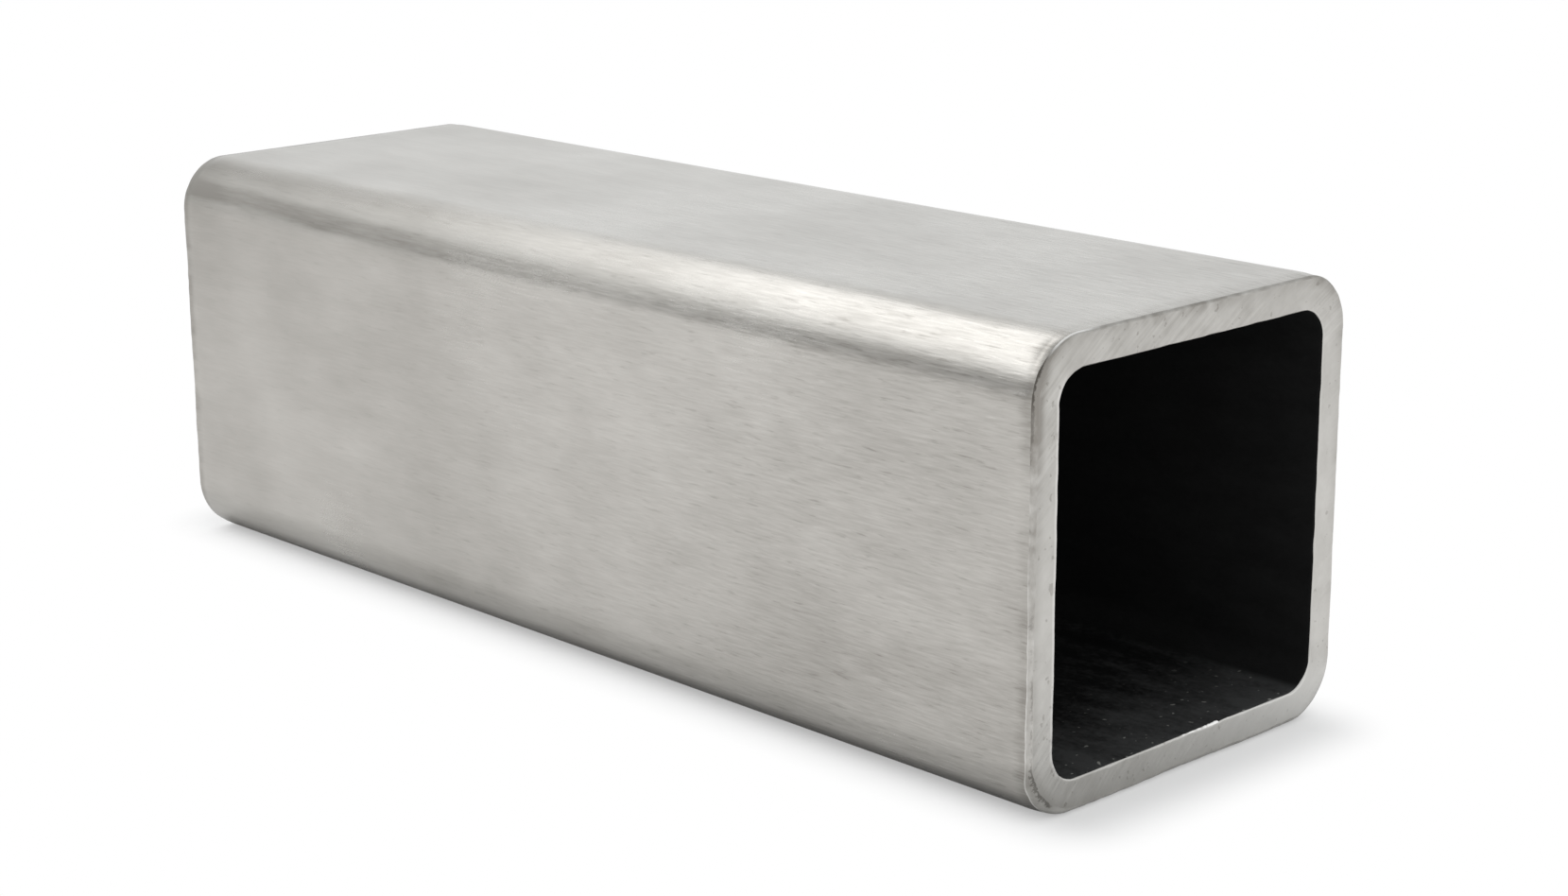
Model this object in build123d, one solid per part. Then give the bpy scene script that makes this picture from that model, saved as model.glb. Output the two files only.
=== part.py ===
from build123d import *
import os

# Short length of square metal tube, lying on one flat wall.
# Sizes are in millimetres. +X runs along the tube, +Z is up, and the origin is the
# middle of the underside.

# Driving dimensions
side = 40.0  # outside width and height of the square section
wall = 3.0  # thickness of the four flat walls
length = 118.0  # from sawn end to sawn end

# Rolled corners. The wall thickens a little where it is bent, so the inside radius
# is larger than the outside radius less the wall.
outside_radius_in_walls = 1.75
radius_step_in_walls = 0.8

# Edges of the sawn ends, taken off by hand with a file: well broken outside, and only
# just touched inside.
outer_break_in_walls = 0.15
inner_break_in_walls = 0.05

# Sizes that follow from them
outside_radius = outside_radius_in_walls * wall
inside_radius = outside_radius - radius_step_in_walls * wall
outer_break = outer_break_in_walls * wall
inner_break = inner_break_in_walls * wall
bore_side = side - 2 * wall


def rolled_section():
    """The ring of metal across the tube: a rounded square less a rounded square bore."""
    outline = RectangleRounded(side, side, outside_radius)
    bore = RectangleRounded(bore_side, bore_side, inside_radius)
    return outline - bore


def straight_length():
    """The section drawn out along X, half the length to each side of the middle."""
    blank = extrude(Plane.YZ * rolled_section(), amount=length / 2, both=True)
    return Pos(Z=side / 2) * blank


def sawn_face(tube, end):
    """The flat ring that the saw left: end 0 faces -X and end -1 faces +X."""
    return tube.faces().sort_by(Axis.X)[end]


def break_edges(tube, end):
    """Take the sharp edges off one sawn end, round the outside and round the bore."""
    tube = chamfer(sawn_face(tube, end).outer_wire().edges(), outer_break)
    (bore_mouth,) = sawn_face(tube, end).inner_wires()
    return chamfer(bore_mouth.edges(), inner_break)


def square_tube():
    """The whole tube, with both sawn ends finished alike."""
    tube = straight_length()
    for end in (0, -1):
        tube = break_edges(tube, end)
    return tube


os.makedirs("parts", exist_ok=True)
tube = square_tube()
tube.label = "square_tube"
export_step(tube, "parts/square_tube.step")
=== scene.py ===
"""A short sawn length of brushed square tube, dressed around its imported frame.

Lengths are in metres in the part's own frame: +X runs along the tube towards the sawn
end that faces the camera, +Z is up, and the tube lies on the floor at Z = 0.
"""
import math
from typing import NamedTuple

import bpy
import numpy as np
from bpy.props import FloatProperty, FloatVectorProperty, PointerProperty
from mathutils import Matrix, Vector


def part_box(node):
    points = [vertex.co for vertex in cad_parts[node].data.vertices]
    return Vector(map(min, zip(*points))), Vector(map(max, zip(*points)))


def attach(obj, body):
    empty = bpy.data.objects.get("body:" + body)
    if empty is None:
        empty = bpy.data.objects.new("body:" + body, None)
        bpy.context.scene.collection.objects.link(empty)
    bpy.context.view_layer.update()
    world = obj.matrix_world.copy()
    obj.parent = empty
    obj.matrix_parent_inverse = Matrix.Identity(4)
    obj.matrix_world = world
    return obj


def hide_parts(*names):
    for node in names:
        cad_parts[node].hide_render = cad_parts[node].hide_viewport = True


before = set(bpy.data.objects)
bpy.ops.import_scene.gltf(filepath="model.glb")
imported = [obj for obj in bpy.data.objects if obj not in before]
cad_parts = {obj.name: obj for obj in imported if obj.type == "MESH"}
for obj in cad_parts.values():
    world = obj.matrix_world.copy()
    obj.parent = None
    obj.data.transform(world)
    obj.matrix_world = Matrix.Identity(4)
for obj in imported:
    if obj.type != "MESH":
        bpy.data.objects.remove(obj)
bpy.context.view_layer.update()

bl_info = {
    "name": "Brushed Square Tube",
    "version": (1, 0, 0),
    "blender": (4, 5, 0),
    "location": "3D View > Sidebar > Tube",
    "description": "Builds a sawn length of brushed square tube on a plain studio floor",
    "category": "Add Mesh",
}

NODE = "square_tube"
MM = 0.001
NODE_LOW, NODE_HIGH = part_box(NODE)

# Grid of the tube: columns go round the section and rows go along the wall's outline.
FLAT_COLUMNS = 228
CORNER_COLUMNS = 66
SKIN_ROWS = 11
ROLL_ROWS = 5
EDGE_ROWS = 6
FACE_ROWS = 17
LIP_ROWS = 4
BORE_ROWS = 9

# How far from the sawn ends the laps of the skin and of the bore stop, clear of the widest
# filed edge and of the widest lip.
SKIN_STOP, BORE_STOP = 0.85 * MM, 0.55 * MM

# Power of the superellipse that a filed edge follows, between a chamfer, 1, and a round, 2.
EDGE_POWER = 1.4

# Heights along each side of a random field's table, after which the field repeats.
TABLE_SIDE = 256

# The layers of the wall, as they are counted from the skin to the bore at a sawn end.
SKIN, FACE_START, FACE_STOP, BORE = 0.0, 1.0, 2.0, 3.0

# Centre of the arcs that the saw left on the ends, as (y, z), and the radius at which
# the angle about it is turned into a length.
SAW_CENTRE = (86 * MM, -95 * MM)
SAW_RADIUS = 0.15

# Grains per metre, along X, Y and Z, of the noises that the finishes are made of.
BRUSH_GRAIN = (300.0, 4300.0, 4300.0)
BRUSH_STROKES = (380.0, 3000.0, 3000.0)
BRUSH_WISPS = (90.0, 420.0, 420.0)
SKIN_PATCHES = (130.0, 160.0, 160.0)
SKIN_CLOUDS = (40.0, 34.0, 34.0)
FILE_SCRATCHES = (2600.0, 900.0, 900.0)
FILE_BLOTCHES = (700.0, 700.0, 700.0)
FILE_TEETH = (2600.0, 2600.0, 2600.0)
FACE_BLOTCHES = (260.0, 260.0, 260.0)
FACE_PATCHES = (190.0, 190.0, 190.0)
FACE_PITS = (1500.0, 1500.0, 1500.0)
BORE_MOTTLE = (160.0, 420.0, 420.0)
BORE_GRIT = (1500.0, 2200.0, 2200.0)
BORE_CRUMBS = (1300.0, 1300.0, 1300.0)

# Grains per metre of the saw's fine arcs: across them, along them and into the tube.
FACE_ARCS = (4200.0, 260.0, 30.0)

# How far the brightest strokes rise above the skin's usual shade, where 1 is the step from
# that shade down to dull steel.
GLINT = 0.35

# Widths over which noise shifts the edges of the skin's narrow bands and broad patches.
WISP_REACH, CLOUD_REACH = 1.2 * MM, 30 * MM

# The painted dark reflection at the foot of each upper corner climbs by this share towards the back.
SHADE_LINE_SLOPE = 0.0125

# How many times paler than the scale itself its palest streaks are.
SCALE_STREAK = 1.9

# Half the floor's width, and how far it lies below the tube.
FLOOR_REACH = 4.0
FLOOR_GAP = 0.02 * MM

# The floor is plain white to the camera by this share beside the tube and wholly so from
# this distance on. In reflections it is plain white from the other distance on.
CONTACT_WHITE = 0.35
CLEAR_REACH = 9 * MM
MIRROR_REACH = 22 * MM

# The room's faint blue, and the heights between which it grows dimmer, as the sine of the
# angle above the level.
ROOM_COLOUR = (0.985, 1.0, 1.005, 1.0)
DIM_FROM, DIM_TO = 0.34, 0.62

# Width of the camera's frame in millimetres, and the nearest distance that it shows.
FRAME_WIDTH = 36.0
NEAREST_SEEN = 10 * MM


class EndSeeds(NamedTuple):
    """Seeds of the random lines and fields on one sawn end."""

    outer: int
    inner: int
    marks: int
    grime: int


FRONT = EndSeeds(outer=11, inner=16, marks=21, grime=31)
BACK = EndSeeds(outer=47, inner=52, marks=57, grime=67)
BURR_SEED = 71

# The burr swells in steps along the lower wall, whose flat runs from -1 to 1. Each step has
# its height and the places where it begins and ends.
BURR_STEPS = ((0.25, -0.26, -0.12), (0.35, -0.06, 0.00), (0.40, 0.20, 0.26))


class SawMark(NamedTuple):
    """One size of the saw's marks: width across, length along and share of the depth."""

    width: float
    length: float
    share: float


SAW_MARKS = (
    SawMark(0.23 * MM, 3 * MM, 0.24),
    SawMark(0.47 * MM, 5 * MM, 0.16),
    SawMark(1.7 * MM, 8 * MM, 0.10),
)


class Softbox(NamedTuple):
    """A soft lamp that faces down: two corners as (x, y), height and share of the power."""

    name: str
    low: tuple
    high: tuple
    height: float
    share: float


# Three lamps, one inside the other, so that their light fades towards the far side. Each
# has a height of its own, because a reflection shows only one of the lamps in a plane.
SOFTBOXES = (
    Softbox("wide_softbox", (-0.35, -0.46), (-0.08, 0.20), 0.264, 0.51),
    Softbox("middle_softbox", (-0.265, -0.34), (-0.08, 0.13), 0.262, 0.30),
    Softbox("narrow_softbox", (-0.195, -0.24), (-0.08, 0.10), 0.260, 0.19),
)


class Card(NamedTuple):
    """An upright grey card that faces the tube from a direction and distance."""

    name: str
    azimuth: float
    distance: float
    half_width: float
    foot: float
    top: float
    grey: float


CARDS = (
    Card("pale_card", math.radians(-142.0), 0.44, 0.20, 0.03, 0.20, 0.85),
    Card("grey_card", math.radians(-114.0), 0.40, 0.10, 0.05, 0.16, 0.40),
)


class TubeSizes(bpy.types.PropertyGroup):
    """Sizes of the section and of its two ends."""

    side: FloatProperty(
        name="Side",
        description="Outside width and height of the section",
        default=NODE_HIGH.z - NODE_LOW.z,
        unit="LENGTH",
    )
    length: FloatProperty(
        name="Length",
        description="From sawn end to sawn end",
        default=NODE_HIGH.x - NODE_LOW.x,
        unit="LENGTH",
    )
    wall: FloatProperty(
        name="Wall", description="Thickness of the flat walls", default=3.0 * MM, unit="LENGTH"
    )
    outside_radius: FloatProperty(
        name="Outside Radius",
        description="Radius of the rolled corners outside",
        default=5.25 * MM,
        unit="LENGTH",
    )
    inside_radius: FloatProperty(
        name="Inside Radius",
        description="Radius of the rolled corners in the bore",
        default=2.85 * MM,
        unit="LENGTH",
    )
    outer_break: FloatProperty(
        name="Outer Break",
        description="Usual width filed off the outer edge of a sawn end",
        default=0.45 * MM,
        unit="LENGTH",
    )
    inner_break: FloatProperty(
        name="Inner Break",
        description="Width taken off the inner edge of a sawn end",
        default=0.13 * MM,
        unit="LENGTH",
    )
    roll_off: FloatProperty(
        name="Roll-off",
        description="How far the skin drops just before the filed edge",
        default=0.09 * MM,
        unit="LENGTH",
    )
    roll_reach: FloatProperty(
        name="Roll-off Reach",
        description="Length of skin that drops before the filed edge",
        default=1.5 * MM,
        unit="LENGTH",
    )
    burr: FloatProperty(
        name="Burr",
        description="Height of the lip of metal left on the bore's lower edge",
        default=0.15 * MM,
        unit="LENGTH",
    )
    mark_depth: FloatProperty(
        name="Saw Mark Depth",
        description="Depth of the saw's deepest marks on the ends",
        default=0.035 * MM,
        unit="LENGTH",
    )


class FinishColours(bpy.types.PropertyGroup):
    """Colours of the metal, of the scale in the bore and of the floor."""

    steel: FloatVectorProperty(
        name="Steel",
        description="Brushed skin of the tube in its brightest strokes",
        default=(0.597, 0.579, 0.548),
        subtype="COLOR",
        min=0.0,
        max=1.0,
    )
    # The skin's painted shade blends towards this colour at the upper corners, high up at the back and low
    # near the front.
    steel_dull: FloatVectorProperty(
        name="Dull Steel",
        description="Darker streaks in the grain and along the rolled corners",
        default=(0.300, 0.285, 0.262),
        subtype="COLOR",
        min=0.0,
        max=1.0,
    )
    cut: FloatVectorProperty(
        name="Cut Metal",
        description="Freshly sawn ends",
        default=(0.585, 0.573, 0.546),
        subtype="COLOR",
        min=0.0,
        max=1.0,
    )
    filed: FloatVectorProperty(
        name="Filed Edge",
        description="Edges rubbed down with a file",
        default=(0.285, 0.268, 0.245),
        subtype="COLOR",
        min=0.0,
        max=1.0,
    )
    # This colour makes painted highlights on the filed edge, the lip and the modelled burr, and painted
    # light on the bottom of the sawn end.
    bright: FloatVectorProperty(
        name="Bright Metal",
        description="Rubbed ridge of the filed edge, and the burr",
        default=(0.95, 0.94, 0.92),
        subtype="COLOR",
        min=0.0,
        max=1.0,
    )
    # Grime is also the colour of the painted shadow on the skin's lower corners.
    grime: FloatVectorProperty(
        name="Grime",
        description="Dark dirt caught along the filed edges",
        default=(0.080, 0.072, 0.062),
        subtype="COLOR",
        min=0.0,
        max=1.0,
    )
    scale: FloatVectorProperty(
        name="Scale",
        description="Dark scale that lines the bore",
        default=(0.0075, 0.0075, 0.0075),
        subtype="COLOR",
        min=0.0,
        max=1.0,
    )
    # The dust also carries painted light, paler near the mouths and towards +Y.
    dust: FloatVectorProperty(
        name="Dust",
        description="Dust that lies on the bottom of the bore",
        default=(0.058, 0.059, 0.059),
        subtype="COLOR",
        min=0.0,
        max=1.0,
    )
    crumbs: FloatVectorProperty(
        name="Crumbs",
        description="Pale crumbs in the dust",
        default=(0.30, 0.30, 0.28),
        subtype="COLOR",
        min=0.0,
        max=1.0,
    )
    floor: FloatVectorProperty(
        name="Floor",
        description="Plain studio floor",
        default=(0.86, 0.86, 0.86),
        subtype="COLOR",
        min=0.0,
        max=1.0,
    )


class StageSettings(bpy.types.PropertyGroup):
    """Camera and light."""

    camera_place: FloatVectorProperty(
        name="Camera Place",
        description="Where the camera stands",
        default=(0.20298, -0.18495, 0.09047),
        subtype="TRANSLATION",
        unit="LENGTH",
    )
    camera_turn: FloatProperty(
        name="Camera Azimuth",
        description="Angle round the tube, from square on to its long side",
        default=math.radians(46.13),
        subtype="ANGLE",
    )
    camera_tip: FloatProperty(
        name="Camera Tip",
        description="How far the camera looks down",
        default=math.radians(15.08),
        subtype="ANGLE",
    )
    camera_roll: FloatProperty(
        name="Camera Roll",
        description="Small lean of the camera about its own line of sight",
        default=math.radians(-0.25),
        subtype="ANGLE",
    )
    lens: FloatProperty(
        name="Lens",
        description="Focal length in millimetres for a frame 36 mm wide",
        default=67.72,
        min=1.0,
    )
    room: FloatProperty(
        name="Room Light",
        description="Strength of the pale room at the level of the floor",
        default=1.0,
        min=0.0,
    )
    ceiling: FloatProperty(
        name="Ceiling Light",
        description="Strength of the pale room overhead",
        default=0.76,
        min=0.0,
    )
    lamps: FloatProperty(
        name="Lamps",
        description="Power of the soft lamps over the far end together",
        default=0.42,
        min=0.0,
        unit="POWER",
    )


# Surfaces worked out on grids.


def smooth_step(x, low, high):
    """0 up to low, 1 from high on, and the cubic 3t^2 - 2t^3 between them."""
    t = np.clip((x - low) / (high - low), 0.0, 1.0)
    return t * t * (3.0 - 2.0 * t)


def random_field(x, y, seed):
    """Smooth random heights from -1 to 1 over the plane.

    Each whole-number point has a random height from a seeded table. Between them the
    height is the smoothstep blend of the four around, first along x and then along y.
    """
    table = np.random.default_rng(seed).uniform(-1.0, 1.0, (TABLE_SIDE, TABLE_SIDE))
    column, row = np.floor(x).astype(int), np.floor(y).astype(int)
    u, v = smooth_step(x - column, 0.0, 1.0), smooth_step(y - row, 0.0, 1.0)
    left, right = column % TABLE_SIDE, (column + 1) % TABLE_SIDE
    low, high = row % TABLE_SIDE, (row + 1) % TABLE_SIDE
    lower = table[left, low] * (1.0 - u) + table[right, low] * u
    upper = table[left, high] * (1.0 - u) + table[right, high] * u
    return lower * (1.0 - v) + upper * v


def random_line(along, seed):
    """Smooth random heights from -1 to 1 along a line: one row of the random field."""
    return random_field(along, np.zeros_like(along), seed)


class Lap(NamedTuple):
    """One lap round a rounded square, for each column, with no size or radius yet."""

    centres: np.ndarray
    normals: np.ndarray


def lap_of_section():
    """Centres K and outward normals N of the columns, anticlockwise seen from +X.

    A point of a rounded square of half width h and corner radius r is (h - r) K + r N.
    N turns evenly through a quarter circle at each corner and stands still along each
    flat. K stands still at each corner and slides evenly along each flat.
    """
    corners = np.array([(1.0, 1.0), (-1.0, 1.0), (-1.0, -1.0), (1.0, -1.0)])
    turn = np.arange(CORNER_COLUMNS) / CORNER_COLUMNS
    slide = (np.arange(FLAT_COLUMNS) / FLAT_COLUMNS)[:, None]
    centres, angles = [], []
    for quarter in range(4):
        here, following = corners[quarter], corners[(quarter + 1) % 4]
        centres += [np.tile(here, (CORNER_COLUMNS, 1)), here + slide * (following - here)]
        angles += [(quarter + turn) * math.pi / 2, np.full(FLAT_COLUMNS, (quarter + 1) * math.pi / 2)]
    angle = np.concatenate(angles)
    return Lap(np.concatenate(centres), np.stack([np.cos(angle), np.sin(angle)], axis=1))


def section_points(sizes, inset, lap):
    """The section's y and z at a depth below the skin, for rows and columns at once.

    At depth d the half width is side / 2 - d, and the corner radius goes evenly from the
    outside radius on the skin to the inside radius on the bore.
    """
    radius = sizes.outside_radius + (sizes.inside_radius - sizes.outside_radius) * inset / sizes.wall
    reach = sizes.side / 2 - inset - radius
    y = reach * lap.centres[:, 0] + radius * lap.normals[:, 0]
    z = reach * lap.centres[:, 1] + radius * lap.normals[:, 1]
    return y, z + sizes.side / 2


def distances_round(sizes, lap):
    """Distance round the skin from the first column to each, and back to the first."""
    y, z = section_points(sizes, np.zeros(len(lap.normals)), lap)
    step = np.hypot(np.diff(y, append=y[:1]), np.diff(z, append=z[:1]))
    return np.concatenate([[0.0], np.cumsum(step)])


def saw_marks(y, z, seed):
    """Depth of the sawn face, from 0 to 1, at the points (y, z).

    The blade's teeth swept arcs about a far centre. Distance from that centre counts the
    marks and distance along the arc stretches them, so each size of mark is a random
    field that is thin one way and long the other. The fields of all sizes are added to
    one half.
    """
    across = np.hypot(y - SAW_CENTRE[0], z - SAW_CENTRE[1])
    along = SAW_RADIUS * np.arctan2(z - SAW_CENTRE[1], y - SAW_CENTRE[0])
    depth = 0.5
    for number, mark in enumerate(SAW_MARKS):
        depth = depth + mark.share * random_field(across / mark.width, along / mark.length, seed + number)
    return depth


def outer_widths(sizes, around, normals, seed):
    """Width filed off the outer edge at each column.

    The file bit deepest along the bottom and least along the top, so the width goes with
    the direction the edge faces. It bit deeper still round one lower corner. Two random
    lines along the edge make it uneven.
    """
    trend = 0.78 - 0.14 * normals[:, 0] - 0.22 * normals[:, 1]
    trend = trend + 0.45 * smooth_step(-normals[:, 0] - normals[:, 1], 0.95, 1.40)
    slow = random_line(around / (4.0 * MM), seed)
    quick = random_line(around / (0.8 * MM), seed + 1)
    return sizes.outer_break * trend * (1.0 + 0.16 * slow + 0.10 * quick)


def inner_widths(sizes, around, seed):
    """Width taken off the inner edge at each column, made uneven by a random line."""
    return sizes.inner_break * (1.0 + 0.35 * random_line(around / (1.5 * MM), seed))


def burr_shares(around, lap):
    """Share of the burr's full height at each column: a ragged lip on the lower edge.

    It stands on the middle of the lower wall, where the normal points down. It swells in
    three steps, breaks off, and tails away, as smooth steps times a quick random line.
    """
    lower = lap.normals[:, 1] < -0.99
    place = lap.centres[:, 0]
    hump = sum(height * smooth_step(place, start, stop) for height, start, stop in BURR_STEPS)
    hump = hump * (1.0 - smooth_step(place, 0.30, 0.315))
    tail = 0.35 * smooth_step(place, 0.33, 0.36) * (1.0 - smooth_step(place, 0.38, 0.65))
    ragged = 0.55 + 0.45 * np.abs(random_line(around / (0.45 * MM), BURR_SEED))
    return lower * (hump + tail) * ragged


def grime_shares(around, lap, seed):
    """Dirt caught along the filed edge at each column, from 0 to 1.

    A slow and a quick random line make patches a few millimetres long. They are thicker
    on the side whose normal points along -Y, and thickest round that side's corners.
    """
    slow = random_line(around / (3.2 * MM), seed)
    quick = random_line(around / (0.7 * MM), seed + 1)
    side = np.clip(-lap.normals[:, 0], 0.0, 1.0)
    corners = side * smooth_step(np.abs(lap.centres[:, 1]), 0.55, 1.0)
    return smooth_step(0.38 + 0.28 * slow + 0.22 * quick + 0.34 * side + 0.30 * corners, 0.25, 1.05)


def quarter_curve(rows):
    """A quarter of a superellipse from (0, 0) to (1, 1), as shares inwards and outwards.

    With power p, the shares are 1 - cos(a)^(2/p) and sin(a)^(2/p) as the angle a goes
    evenly from 0 to a right angle.
    """
    angle = np.linspace(0.0, math.pi / 2, rows)[:, None]
    return 1.0 - np.cos(angle) ** (2.0 / EDGE_POWER), np.sin(angle) ** (2.0 / EDGE_POWER)


class Rows(NamedTuple):
    """Some laps of the tube: x and depth below the skin per point, layer per row."""

    x: np.ndarray
    inset: np.ndarray
    layer: np.ndarray

    def turned(self):
        """The same laps in the opposite order and at the opposite end."""
        return Rows(-self.x[::-1], self.inset[::-1], self.layer[::-1])


def end_laps(sizes, outer, inner, burr):
    """Laps of the front end from the skin to the bore: filed edge, sawn face and lip.

    The filed edge and the lip are quarters of a superellipse as wide as was taken off.
    The face between them runs evenly across the wall. The burr lifts the lip into the
    bore by the share of the lip that is passed.
    """
    inwards, outwards = quarter_curve(EDGE_ROWS)
    setback = [outer * (1.0 - outwards)]
    inset = [sizes.roll_off + outer * inwards]
    layer = [np.linspace(SKIN, FACE_START, EDGE_ROWS)]
    share = np.linspace(0.0, 1.0, FACE_ROWS + 2)[1:-1, None]
    start, stop = sizes.roll_off + outer, sizes.wall - inner
    setback.append(np.zeros_like(share * outer))
    inset.append(start + (stop - start) * share)
    layer.append(FACE_START + (FACE_STOP - FACE_START) * share[:, 0])
    inwards, outwards = quarter_curve(LIP_ROWS)
    setback.append(inner * inwards)
    inset.append(stop + inner * outwards + burr * outwards)
    layer.append(np.linspace(FACE_STOP, BORE, LIP_ROWS))
    return Rows(sizes.length / 2 - np.concatenate(setback), np.concatenate(inset), np.concatenate(layer))


def skin_laps(sizes, columns):
    """Laps of the skin from the back end to the front.

    They crowd towards the ends by the sine of an even angle. The last stretch before each
    filed edge drops away by the square of the way gone, down to the roll-off.
    """
    half = sizes.length / 2 - SKIN_STOP
    middle = (half - sizes.roll_reach) * np.sin(np.linspace(-1.0, 1.0, SKIN_ROWS) * math.pi / 2)
    start = -half + sizes.roll_reach * (np.arange(ROLL_ROWS) / ROLL_ROWS)
    place = np.concatenate([start, middle, -start[::-1]])[:, None]
    drop = np.clip((np.abs(place) - (half - sizes.roll_reach)) / sizes.roll_reach, 0.0, 1.0) ** 2
    spread = np.ones(columns)
    return Rows(place * spread, drop * sizes.roll_off * spread, np.full(len(place), SKIN))


def bore_laps(sizes, columns):
    """Laps of the bore from the front end to the back, crowded towards both mouths."""
    half = sizes.length / 2 - BORE_STOP
    place = half * np.sin(np.linspace(1.0, -1.0, BORE_ROWS) * math.pi / 2)[:, None]
    spread = np.ones(columns)
    return Rows(place * spread, np.full((BORE_ROWS, columns), sizes.wall), np.full(BORE_ROWS, BORE))


class Grid(NamedTuple):
    """A grid of points that closes both ways, with a layer for each row.

    The paint is one value per point under each title. The two distances, for the UVs, run
    round the skin and along the wall's outline, and end with the way back to the start.
    """

    points: np.ndarray
    layer: np.ndarray
    paint: dict
    round_skin: np.ndarray
    along_wall: np.ndarray


def tube_grid(sizes):
    """The grid of the tube.

    Columns go round the section. Rows go along the outline of the wall: skin, front end,
    bore and back end, which meets the skin again. The sawn faces are then set back by
    their marks, fading out over the filed edge and the lip.
    """
    lap = lap_of_section()
    round_skin = distances_round(sizes, lap)
    around = round_skin[:-1]
    burr = burr_shares(around, lap)

    def end(seeds, burr_share):
        """The laps of one end, with its own random widths and this share of the burr."""
        outer = outer_widths(sizes, around, lap.normals, seeds.outer)
        inner = inner_widths(sizes, around, seeds.inner)
        return end_laps(sizes, outer, inner, sizes.burr * burr_share)

    skin, bore = skin_laps(sizes, len(around)), bore_laps(sizes, len(around))
    parts = [skin, end(FRONT, burr), bore, end(BACK, np.zeros_like(burr)).turned()]
    x, inset, layer = (np.concatenate(values) for values in zip(*parts))
    y, z = section_points(sizes, inset, lap)
    front_end = x > 0.0
    marks = np.where(front_end, saw_marks(y, z, FRONT.marks), saw_marks(y, z, BACK.marks))
    sawn = smooth_step(layer, SKIN + 0.3, FACE_START) * (1.0 - smooth_step(layer, FACE_STOP, BORE))
    x = x - np.sign(x) * sizes.mark_depth * marks * sawn[:, None]
    lip = (layer > FACE_STOP) & (layer <= BORE)
    front_grime, back_grime = (grime_shares(around, lap, seeds.grime) for seeds in (FRONT, BACK))
    paint = {
        "layer": layer[:, None] * np.ones_like(x),
        "marks": marks,
        "grime": np.where(front_end, front_grime, back_grime),
        "burr": burr * front_end * lip[:, None],
    }
    points = np.stack([x, y, z], axis=-1)
    step = np.linalg.norm(np.diff(points, axis=0, append=points[:1]), axis=2).mean(axis=1)
    return Grid(points, layer, paint, round_skin, np.concatenate([[0.0], np.cumsum(step)]))


def finishes_of(layer):
    """Which finish the quads after each row take, from its layer and the next row's."""
    on = np.roll(layer, -1)
    low, high = np.minimum(layer, on), np.maximum(layer, on)
    finish = np.full(len(layer), "skin", dtype=object)
    finish[(high > SKIN) & (high <= FACE_START)] = "edge"
    finish[(low >= FACE_START) & (high > FACE_START)] = "face"
    finish[low >= BORE] = "scale"
    return finish


def closed_mesh(name, grid, finishes, materials):
    """A mesh from a grid that closes both ways, one quad between neighbouring points.

    The quad from row i, column j takes the finish of row i. Its UVs are the distance
    round the section and along the wall's outline, in metres.
    """
    rows, columns, _ = grid.points.shape
    row, column = np.meshgrid(np.arange(rows), np.arange(columns), indexing="ij")
    steps = ((0, 0), (0, 1), (1, 1), (1, 0))
    quads = np.stack([(row + a) % rows * columns + (column + b) % columns for a, b in steps], axis=-1)
    pairs = [np.stack([grid.round_skin[column + b], grid.along_wall[row + a]], axis=-1) for a, b in steps]
    uvs = np.stack(pairs, axis=2)
    mesh = bpy.data.meshes.new(name)
    mesh.vertices.add(rows * columns)
    mesh.vertices.foreach_set("co", grid.points.reshape(-1).astype(np.float32))
    mesh.loops.add(quads.size)
    mesh.loops.foreach_set("vertex_index", quads.reshape(-1).astype(np.int32))
    mesh.polygons.add(rows * columns)
    mesh.polygons.foreach_set("loop_start", np.arange(0, quads.size, 4, dtype=np.int32))
    for material in materials.values():
        mesh.materials.append(material)
    order = list(materials)
    slots = np.repeat([order.index(finish) for finish in finishes], columns)
    mesh.polygons.foreach_set("material_index", slots.astype(np.int32))
    mesh.polygons.foreach_set("use_smooth", np.ones(rows * columns, dtype=bool))
    mesh.uv_layers.new(name="Around").data.foreach_set("uv", uvs.reshape(-1).astype(np.float32))
    for title, values in grid.paint.items():
        painted = mesh.attributes.new(title, "FLOAT", "POINT")
        painted.data.foreach_set("value", values.reshape(-1).astype(np.float32))
    mesh.update(calc_edges=True)
    if mesh.validate():
        raise RuntimeError(f"{name} came out with faulty faces")
    return mesh


def plain_object(name, mesh):
    """A mesh as an object at the origin, in the scene."""
    obj = bpy.data.objects.new(name, mesh)
    bpy.context.scene.collection.objects.link(obj)
    return obj


# Materials as expressions.


class Value:
    """One socket as a term: arithmetic on it adds Math nodes to its tree."""

    def __init__(self, finish, socket):
        self.finish = finish
        self.socket = socket

    def __add__(self, other):
        return self.finish.maths("ADD", self, other)

    __radd__ = __add__

    def __sub__(self, other):
        return self.finish.maths("SUBTRACT", self, other)

    def __rsub__(self, other):
        return self.finish.maths("SUBTRACT", other, self)

    def __mul__(self, other):
        return self.finish.maths("MULTIPLY", self, other)

    __rmul__ = __mul__

    def __truediv__(self, other):
        return self.finish.maths("DIVIDE", self, other)

    def __neg__(self):
        return self.finish.maths("SUBTRACT", 0.0, self)

    def __abs__(self):
        return self.finish.maths("ABSOLUTE", self)


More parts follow.
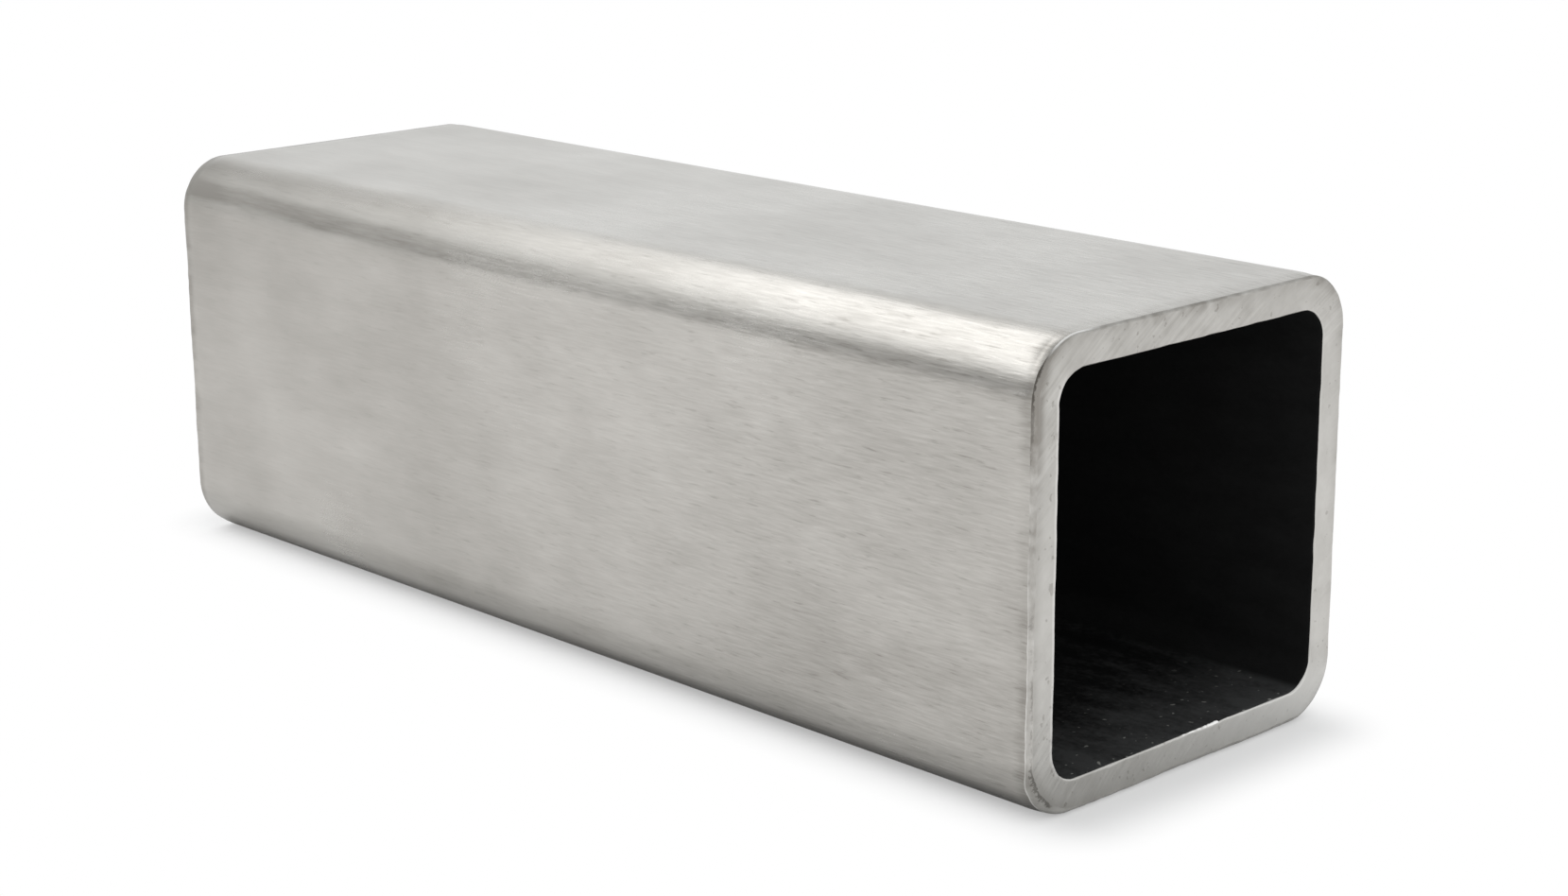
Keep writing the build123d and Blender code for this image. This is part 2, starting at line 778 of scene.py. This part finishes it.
class Finish:
    """The node tree of a material or of the world, built from calls and expressions."""

    def __init__(self, owner):
        owner.use_nodes = True
        self.owner = owner
        self.tree = owner.node_tree
        self.tree.nodes.clear()

    def node(self, kind, settings=None, sockets=None, output=0):
        """Add a node: its settings first, then values or links by socket name or number."""
        made = self.tree.nodes.new(kind)
        for name, value in (settings or {}).items():
            setattr(made, name, value)
        for name, value in (sockets or {}).items():
            socket = self.find(made.inputs, name)
            if isinstance(value, Value):
                self.tree.links.new(value.socket, socket)
            else:
                socket.default_value = value
        return Value(self, self.find(made.outputs, output)) if len(made.outputs) else made

    @staticmethod
    def find(sockets, name):
        """A socket by number, by identifier, or by the name it shows."""
        if isinstance(name, int):
            return sockets[name]
        found = [s for s in sockets if s.identifier == name] or [s for s in sockets if s.name == name]
        return found[0]

    def maths(self, operation, *terms, clamp=False):
        """A Math node on one to three terms."""
        settings = {"operation": operation, "use_clamp": clamp}
        return self.node("ShaderNodeMath", settings, dict(enumerate(terms)))

    def vector(self, operation, *terms, output=0):
        """A Vector Math node."""
        return self.node("ShaderNodeVectorMath", {"operation": operation}, dict(enumerate(terms)), output)

    def clamped(self, value):
        """The value held between 0 and 1."""
        return self.maths("ADD", value, 0.0, clamp=True)

    def place(self):
        """Where the point is on the object."""
        return self.node("ShaderNodeTexCoord", output="Object")

    def axes(self, place):
        """The x, y and z of a place."""
        first = self.node("ShaderNodeSeparateXYZ", None, {"Vector": place})
        return [Value(self, socket) for socket in first.socket.node.outputs]

    def painted(self, title):
        """The value painted on the mesh under this title."""
        return self.node("ShaderNodeAttribute", {"attribute_name": title}, output="Fac")

    def ramp(self, value, low, high):
        """0 at low, 1 at high and a smooth rise between."""
        return self.node(
            "ShaderNodeMapRange",
            {"interpolation_type": "SMOOTHSTEP"},
            {"Value": value, "From Min": low, "From Max": high},
        )

    def band(self, value, low, high, soft):
        """1 between low and high, falling smoothly to 0 over the soft width outside."""
        return self.ramp(value, low - soft, low) * (1.0 - self.ramp(value, high, high + soft))

    def blend(self, factor, first, second):
        """First colour where the factor is 0 and second where it is 1."""
        return self.node(
            "ShaderNodeMix",
            {"data_type": "RGBA"},
            {"Factor_Float": factor, "A_Color": first, "B_Color": second},
            "Result_Color",
        )

    def noise(self, place, grains, detail=2.0, roughness=0.5):
        """Noise from -0.5 to 0.5 over a place, with its grains per metre along each axis."""
        scaled = self.vector("MULTIPLY", place, grains)
        fac = self.node(
            "ShaderNodeTexNoise",
            {"noise_dimensions": "3D"},
            {"Vector": scaled, "Scale": 1.0, "Detail": detail, "Roughness": roughness},
            "Fac",
        )
        return fac - 0.5

    def bump(self, height, distance):
        """A bumped normal from a height in shares of the distance."""
        return self.node("ShaderNodeBump", None, {"Distance": distance, "Height": height})

    def metal(self, base, roughness, normal):
        """End the tree in bare metal."""
        sockets = {"Base Color": base, "Metallic": 1.0, "Roughness": roughness, "Normal": normal}
        return self.surface(self.node("ShaderNodeBsdfPrincipled", None, sockets))

    def surface(self, shader):
        """End the tree in this surface, and give its material back."""
        self.node("ShaderNodeOutputMaterial", None, {"Surface": shader})
        return self.owner


def colour(values):
    """A colour property as four numbers."""
    return (*values, 1.0)


def brushed_skin(colours, sizes):
    """Satin steel brushed along the tube.

    Fine grain with short dark and pale strokes runs along X over soft clouds, crisp
    towards the front end and faint towards the back. A painted dark reflection runs along
    the foot of each upper corner, and the corner above it carries a little painted shade
    too, more so towards the back. The last millimetre before the filed edges is browned,
    most where dirt is caught. Painted shade darkens the skin high up at the back end and
    low down near the front, and a painted shadow darkens the lower corners towards the
    floor. The side walls are a little duller in the back half and rubbed paler just in
    front of the middle.
    """
    f = Finish(bpy.data.materials.new("brushed_skin"))
    place = f.place()
    x, y, z = f.axes(place)
    crisp = 0.35 + 0.95 * f.ramp(x, -50 * MM, 55 * MM)
    grain = crisp * f.noise(place, BRUSH_GRAIN, 3.0, 0.6)
    strokes = f.noise(place, BRUSH_STROKES, 2.0, 0.55)
    dashes = crisp * (f.ramp(strokes, 0.08, 0.24) - 0.5 * f.ramp(-strokes, 0.12, 0.26))
    wisps = f.noise(place, BRUSH_WISPS, 3.0, 0.55)
    patches = f.noise(place, SKIN_PATCHES)
    clouds = f.noise(place, SKIN_CLOUDS)
    middle, flat_half = sizes.side / 2, sizes.side / 2 - sizes.outside_radius
    back = f.ramp(-x, -5 * MM, 40 * MM)
    near = f.ramp(x, -20 * MM, 45 * MM)
    height = z - middle - flat_half
    beyond = abs(y) - flat_half
    # Painted shade: a band round each upper corner, darker towards the back.
    corner = f.ramp(beyond, 0.3 * MM, 2.6 * MM) * (1.0 - f.ramp(beyond, 2.6 * MM, 4.6 * MM))
    corner = corner * f.ramp(height, 0.0, 0.5 * MM)
    # Painted dark reflection along the foot of each upper corner.
    shade_line = f.band(height + SHADE_LINE_SLOPE * x + WISP_REACH * wisps, 1.3 * MM, 2.2 * MM, 0.8 * MM)
    # Painted shadow: the lower corners darken towards the floor.
    low = f.ramp(beyond, 0.0, 1.5 * MM) * f.ramp(middle - flat_half - z, 2.3 * MM, 4.2 * MM)
    # Painted shade high up at the back end and low down near the front.
    high_back_shade = f.ramp(-x, 44 * MM, 58 * MM) * f.ramp(z, 0.30 * sizes.side, 0.60 * sizes.side)
    low_front_shade = f.ramp(x, 0.0, 45 * MM) * f.band(z, 0.17 * sizes.side, 0.27 * sizes.side, 0.10 * sizes.side)
    tip = sizes.length / 2
    browned = f.ramp(abs(x) + WISP_REACH * wisps, tip - 1.8 * MM, tip - 0.6 * MM)
    side_wall = f.ramp(beyond, 4.2 * MM, 5.2 * MM)
    dulled = f.band(x + 0.5 * (z - middle) + CLOUD_REACH * clouds, -42 * MM, -14 * MM, 9 * MM)
    rubbed = f.band(x + CLOUD_REACH * clouds, 2 * MM, 22 * MM, 9 * MM)
    shade = 0.13 + 0.85 * grain + 0.34 * dashes + 0.46 * wisps + 0.42 * patches + 0.85 * clouds
    shade = shade + shade_line * (0.28 + 0.32 * back + 0.8 * grain) + (0.14 + 0.34 * back) * corner
    shade = shade + 0.85 * low + 0.25 * high_back_shade + 0.18 * low_front_shade
    shade = shade + side_wall * (0.14 * dulled - 0.10 * rubbed)
    shade = shade + browned * (0.08 + 0.42 * f.painted("grime"))
    shade = f.clamped((shade + GLINT) / (1.0 + GLINT))
    base = f.blend(shade, colour(colours.steel), colour(colours.steel_dull))
    # Painted shadow: the lower corners also blend towards the grime colour, most near the front.
    base = f.blend(low * (0.15 + 0.42 * near), base, colour(colours.grime))
    roughness = 0.30 + 0.14 * clouds + 0.10 * grain - 0.03 * corner
    return f.metal(base, roughness, f.bump(grain + 0.5 * wisps, 0.014 * MM))


def filed_edge(colours, sizes):
    """Edges rubbed down with a file.

    Across the edge, from the skin to the face: a dark ragged line where dirt is caught,
    then a scratched brown band. In the lower half the band is paler, the line breaks up
    into spots nearer the face, and a painted highlight lies on the ridge beside the skin.
    The top of the upper corner towards -Y carries a painted highlight too.
    """
    f = Finish(bpy.data.materials.new("filed_edge"))
    place = f.place()
    _, y, z = f.axes(place)
    scratches = f.noise(place, FILE_SCRATCHES, 3.0, 0.6)
    blotches = f.noise(place, FILE_BLOTCHES, 3.0, 0.6)
    lower = 1.0 - f.ramp(z, 0.25 * sizes.side, 0.70 * sizes.side)
    ragged = (0.55 + 0.45 * lower) * f.noise(place, FILE_TEETH, 4.0, 0.75)
    flat_half = sizes.side / 2 - sizes.outside_radius
    corner = f.ramp(abs(z - sizes.side / 2), flat_half - 1 * MM, flat_half + 1 * MM)
    arc_top = f.ramp(z, sizes.side - 1.8 * MM, sizes.side - 0.5 * MM)
    arc_top = arc_top * f.ramp(-y, flat_half - 3 * MM, flat_half)
    layer = f.painted("layer")
    uneven = layer + 0.5 * blotches + 1.4 * ragged
    grime = f.painted("grime")
    width = (0.02 + 0.30 * grime) * (1.0 - 0.7 * lower)
    line = 1.0 - f.ramp(abs(uneven - 0.85 * lower) - width, 0.0, 0.16)
    line = line * f.ramp(grime + 1.5 * ragged + 1.8 * blotches, 0.42, 0.95) * (0.5 + 0.5 * corner)
    brown = (0.25 + 0.70 * grime + 0.25 * corner) * (1.0 - 0.62 * lower)
    brown = f.clamped(0.06 + brown + 0.9 * scratches + 0.6 * blotches)
    base = f.blend(brown, colour(colours.cut), colour(colours.filed))
    # Painted highlights on the ridge in the lower half and on the top of the upper corner.
    ridge = lower * (1.0 - f.ramp(layer + 0.2 * blotches, 0.06, 0.22))
    painted_glint = arc_top * (1.0 - f.ramp(layer + 0.2 * blotches, 0.35, 0.60))
    base = f.blend(f.clamped(0.5 * ridge + 0.85 * painted_glint), base, colour(colours.bright))
    line = (0.88 - 0.28 * lower) * line * (1.0 - painted_glint)
    base = f.blend(f.clamped(line), base, colour(colours.grime))
    return f.metal(base, 0.34 + 0.3 * scratches, f.bump(scratches, 0.03 * MM))


def sawn_face(colours, sizes):
    """Cut metal with the saw's arcs, darker in the grooves and towards the outer edge.

    Fine arcs lie between the modelled ones: noise over distance from the arcs' centre and
    over the angle about it. Painted shade darkens the upper walls, where the arcs are
    plainest. Small pits lie thickest near the bore on the wall towards -Y, which has a
    painted highlight along its edge by the bore. The bottom is stained at that side and
    painted with light at the other. The lip at the bore carries a faint painted highlight
    all round, and its modelled burr a bright painted highlight.
    """
    f = Finish(bpy.data.materials.new("sawn_face"))
    place = f.place()
    x, y, z = f.axes(place)
    from_y, from_z = y - SAW_CENTRE[0], z - SAW_CENTRE[1]
    reach = f.maths("SQRT", from_y * from_y + from_z * from_z)
    turn = f.maths("ARCTAN2", from_z, from_y)
    swept = f.node("ShaderNodeCombineXYZ", None, {"X": reach, "Y": SAW_RADIUS * turn, "Z": x})
    arcs = f.noise(swept, FACE_ARCS, 4.0, 0.7)
    blotches = f.noise(place, FACE_BLOTCHES, 4.0, 0.65)
    grime = f.painted("grime")
    layer = f.painted("layer")
    outside = 1.0 - f.ramp(layer + 0.5 * blotches, FACE_START, FACE_START + 0.45)
    lip = f.ramp(layer, FACE_STOP, FACE_STOP + 0.25)
    left = f.ramp(-y, sizes.side / 2 - sizes.wall - 1 * MM, sizes.side / 2 - sizes.wall)
    pitted = 0.07 * left * f.ramp(layer, FACE_START + 0.4, FACE_STOP - 0.2)
    pits = f.ramp(f.noise(place, FACE_PITS) + pitted, 0.17, 0.24)
    # Painted highlight along the edge by the bore on the wall towards -Y.
    rim_highlight = left * f.ramp(layer, FACE_STOP - 0.14, FACE_STOP - 0.04)
    # Painted shade: upper darkens the upper walls below, and also makes their arcs stronger.
    upper = f.ramp(z - 0.25 * y, 0.45 * sizes.side, sizes.side)
    patches = f.ramp(f.noise(place, FACE_PATCHES), -0.10, 0.14)
    struck = (0.25 + 0.75 * upper) * (0.3 + 0.7 * patches)
    bottom = 1.0 - f.ramp(z, sizes.wall, 2 * sizes.wall)
    stained = outside * (0.12 + (0.20 + 0.45 * upper) * grime)
    stained = stained + 0.24 * bottom * f.ramp(-y, 0.0, 0.4 * sizes.side)
    # Painted light: the bottom is made paler towards +Y.
    painted_light_bottom = bottom * f.ramp(y, -sizes.side / 5, sizes.side / 2)
    shade = 0.10 + 0.26 * upper + struck * (0.9 * arcs + 0.5 * (f.painted("marks") - 0.5))
    # The lip is made paler all round, a painted highlight.
    shade = shade + 0.80 * blotches + stained + 0.45 * pits - 0.20 * lip - 0.16 * painted_light_bottom
    base = f.blend(f.clamped(shade), colour(colours.cut), colour(colours.steel_dull))
    base = f.blend(0.26 * painted_light_bottom + 0.35 * rim_highlight, base, colour(colours.bright))
    # Painted highlight on the modelled burr.
    base = f.blend(f.ramp(f.painted("burr"), 0.25, 0.55), base, colour(colours.bright))
    return f.metal(base, 0.36 + 0.2 * blotches, f.bump(arcs, 0.02 * MM))


def bore_scale(colours, sizes):
    """Black scale, rough and mottled. Dust and a few pale crumbs lie on the flat bottom.

    The dust stops where the corners start to rise. It is thickest near the mouths, and a
    little thicker towards +Y than towards -Y, partly dust and partly painted light. The
    crumbs lie near the mouths only.
    """
    f = Finish(bpy.data.materials.new("bore_scale"))
    place = f.place()
    x, y, z = f.axes(place)
    mottle = f.noise(place, BORE_MOTTLE, 4.0, 0.6)
    grit = f.noise(place, BORE_GRIT, 3.0, 0.6)
    crumbs = f.ramp(f.noise(place, BORE_CRUMBS, 1.0), 0.20, 0.24)
    bottom = 1.0 - f.ramp(z, sizes.wall + 0.03 * MM, sizes.wall + 0.5 * MM)
    streaks = f.clamped(0.25 + 1.6 * mottle + 0.7 * grit)
    base = f.blend(streaks, colour(colours.scale), colour([SCALE_STREAK * c for c in colours.scale]))
    # Dust and painted light: paler near the mouths and towards +Y.
    mouth = f.ramp(abs(x), 0.37 * sizes.length, 0.5 * sizes.length)
    dust_and_light = f.clamped(0.02 + 0.90 * mouth + 1.7 * mottle + 1.3 * grit + 7.0 * y)
    base = f.blend(bottom * dust_and_light, base, colour(colours.dust))
    base = f.blend(crumbs * bottom * mouth, base, colour(colours.crumbs))
    sockets = {
        "Base Color": base,
        "Roughness": 0.70 + 0.3 * mottle,
        "Specular IOR Level": 0.16,
        "Normal": f.bump(0.6 * grit + mottle, 0.08 * MM),
    }
    return f.surface(f.node("ShaderNodeBsdfPrincipled", None, sockets))


def floor_finish(colours, sizes):
    """Pale floor that is plain white away from the tube and keeps the shadow beside it.

    The share of plain white grows with the distance from where the tube touches the
    floor, and in reflections with the distance from under its sides. It shows to the
    camera and in reflections only, so that it throws no light on the tube.
    """
    f = Finish(bpy.data.materials.new("studio_floor"))

    def distance_from(half_width):
        """How far the point lies outside a rectangle as long as the tube and this wide."""
        half = (sizes.length / 2, half_width, 0.0)
        beyond = f.vector("SUBTRACT", f.vector("ABSOLUTE", f.place()), half)
        return f.vector("LENGTH", f.vector("MAXIMUM", beyond, (0.0, 0.0, 0.0)), output="Value")

    kinds = ("Camera", "Glossy", "Transmission")
    camera, glossy, through = (f.node("ShaderNodeLightPath", output=f"Is {kind} Ray") for kind in kinds)
    clear = f.ramp(distance_from(sizes.side / 2 - sizes.outside_radius), 0.0, CLEAR_REACH)
    mirrored = f.ramp(distance_from(sizes.side / 2), 0.0, MIRROR_REACH)
    seen = camera * (CONTACT_WHITE + (1.0 - CONTACT_WHITE) * clear)
    white = seen + f.clamped(glossy + through) * mirrored
    plain = f.node("ShaderNodeBsdfDiffuse", None, {"Color": colour(colours.floor)})
    shown = f.node("ShaderNodeEmission", None, {"Color": (1.0, 1.0, 1.0, 1.0), "Strength": 1.0})
    f.owner.cycles.emission_sampling = "NONE"
    return f.surface(f.node("ShaderNodeMixShader", None, {0: f.clamped(white), 1: plain, 2: shown}))


# Operators.


class OBJECT_OT_brushed_square_tube(bpy.types.Operator):
    """Build the tube with its brushed skin, filed edges, sawn ends and dark bore"""

    bl_idname = "object.brushed_square_tube"
    bl_label = "Brushed Square Tube"
    bl_options = {"REGISTER", "UNDO"}

    def execute(self, context):
        sizes, colours = context.scene.tube_sizes, context.scene.tube_colours
        materials = {
            "skin": brushed_skin(colours, sizes),
            "edge": filed_edge(colours, sizes),
            "face": sawn_face(colours, sizes),
            "scale": bore_scale(colours, sizes),
        }
        grid = tube_grid(sizes)
        tube = plain_object("tube", closed_mesh("tube", grid, finishes_of(grid.layer), materials))
        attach(tube, "root")
        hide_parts(NODE)
        return {"FINISHED"}


class OBJECT_OT_tube_stage(bpy.types.Operator):
    """Lay the pale floor, light the room and place the camera"""

    bl_idname = "object.tube_stage"
    bl_label = "Tube Stage"
    bl_options = {"REGISTER", "UNDO"}

    def execute(self, context):
        scene = context.scene
        self.lay_floor(scene)
        self.light_room(scene)
        for softbox in SOFTBOXES:
            self.hang_softbox(scene, softbox)
        for card in CARDS:
            self.stand_card(card)
        self.place_camera(scene)
        scene.view_settings.view_transform = "Standard"
        return {"FINISHED"}

    def lay_floor(self, scene):
        """One flat square, just clear of the tube so that the two never share a plane."""
        signs = ((-1, -1), (1, -1), (1, 1), (-1, 1))
        corners = [(FLOOR_REACH * a, FLOOR_REACH * b, -FLOOR_GAP) for a, b in signs]
        mesh = bpy.data.meshes.new("floor")
        mesh.from_pydata(corners, [], [(0, 1, 2, 3)])
        mesh.materials.append(floor_finish(scene.tube_colours, scene.tube_sizes))
        plain_object("floor", mesh)

    def light_room(self, scene):
        """A pale room, white at the level of the floor and a little darker overhead."""
        stage = scene.tube_stage
        scene.world = bpy.data.worlds.new("room")
        f = Finish(scene.world)
        height = f.axes(f.node("ShaderNodeTexCoord", output="Generated"))[2]
        strength = stage.room - (stage.room - stage.ceiling) * f.ramp(height, DIM_FROM, DIM_TO)
        sockets = {"Color": ROOM_COLOUR, "Strength": strength}
        f.node("ShaderNodeOutputWorld", None, {"Surface": f.node("ShaderNodeBackground", None, sockets)})

    def hang_softbox(self, scene, softbox):
        """One soft lamp between its two corners."""
        low, high = np.array(softbox.low), np.array(softbox.high)
        light = bpy.data.lights.new(softbox.name, "AREA")
        light.shape = "RECTANGLE"
        light.size, light.size_y = (high - low).tolist()
        light.energy = softbox.share * scene.tube_stage.lamps
        lamp = bpy.data.objects.new(softbox.name, light)
        lamp.location = (*((low + high) / 2).tolist(), softbox.height)
        scene.collection.objects.link(lamp)

    def stand_card(self, card):
        """One card, hidden from the camera, that the rolled corner reflects as a darker line.

        It is an upright rectangle, wide along the level line square to its direction.
        """
        towards = np.array([math.cos(card.azimuth), math.sin(card.azimuth), 0.0])
        level = card.half_width * np.array([-towards[1], towards[0], 0.0])
        foot, top = np.array([0.0, 0.0, card.foot]), np.array([0.0, 0.0, card.top])
        middle = card.distance * towards
        corners = [middle - level + foot, middle + level + foot, middle + level + top, middle - level + top]
        mesh = bpy.data.meshes.new(card.name)
        mesh.from_pydata([corner.tolist() for corner in corners], [], [(0, 1, 2, 3)])
        f = Finish(bpy.data.materials.new(card.name))
        grey = f.node("ShaderNodeBsdfDiffuse", None, {"Color": colour([card.grey] * 3)})
        mesh.materials.append(f.surface(grey))
        made = plain_object(card.name, mesh)
        made.visible_camera = False

    def place_camera(self, scene):
        """Stand the camera where the photograph was taken from."""
        stage = scene.tube_stage
        turn, tip, lean = stage.camera_turn, stage.camera_tip, stage.camera_roll
        back = Vector((math.sin(turn) * math.cos(tip), -math.cos(turn) * math.cos(tip), math.sin(tip)))
        right = Vector((math.cos(turn), math.sin(turn), 0.0))
        axes = Matrix((right, back.cross(right), back)).transposed()
        data = bpy.data.cameras.new("camera")
        data.lens = stage.lens
        data.sensor_width = FRAME_WIDTH
        data.clip_start = NEAREST_SEEN
        camera = bpy.data.objects.new("camera", data)
        turned = axes @ Matrix.Rotation(lean, 3, "Z")
        camera.matrix_world = Matrix.Translation(stage.camera_place) @ turned.to_4x4()
        scene.collection.objects.link(camera)
        scene.camera = camera


class VIEW3D_PT_brushed_tube(bpy.types.Panel):
    """Lists the builders of the tube and of its stage with their settings"""

    bl_idname = "VIEW3D_PT_brushed_tube"
    bl_label = "Brushed Square Tube"
    bl_space_type = "VIEW_3D"
    bl_region_type = "UI"
    bl_category = "Tube"

    def draw(self, context):
        for group in (context.scene.tube_sizes, context.scene.tube_colours, context.scene.tube_stage):
            box = self.layout.box()
            for name in group.bl_rna.properties.keys():
                if name not in ("rna_type", "name"):
                    box.prop(group, name)
        self.layout.operator(OBJECT_OT_brushed_square_tube.bl_idname)
        self.layout.operator(OBJECT_OT_tube_stage.bl_idname)


CLASSES = (
    TubeSizes,
    FinishColours,
    StageSettings,
    OBJECT_OT_brushed_square_tube,
    OBJECT_OT_tube_stage,
    VIEW3D_PT_brushed_tube,
)


def register():
    for each in CLASSES:
        bpy.utils.register_class(each)
    bpy.types.Scene.tube_sizes = PointerProperty(type=TubeSizes)
    bpy.types.Scene.tube_colours = PointerProperty(type=FinishColours)
    bpy.types.Scene.tube_stage = PointerProperty(type=StageSettings)


def unregister():
    del bpy.types.Scene.tube_stage
    del bpy.types.Scene.tube_colours
    del bpy.types.Scene.tube_sizes
    for each in reversed(CLASSES):
        bpy.utils.unregister_class(each)


def main():
    """Build the tube and its stage."""
    register()
    bpy.ops.object.brushed_square_tube()
    bpy.ops.object.tube_stage()


if __name__ == "__main__":
    main()
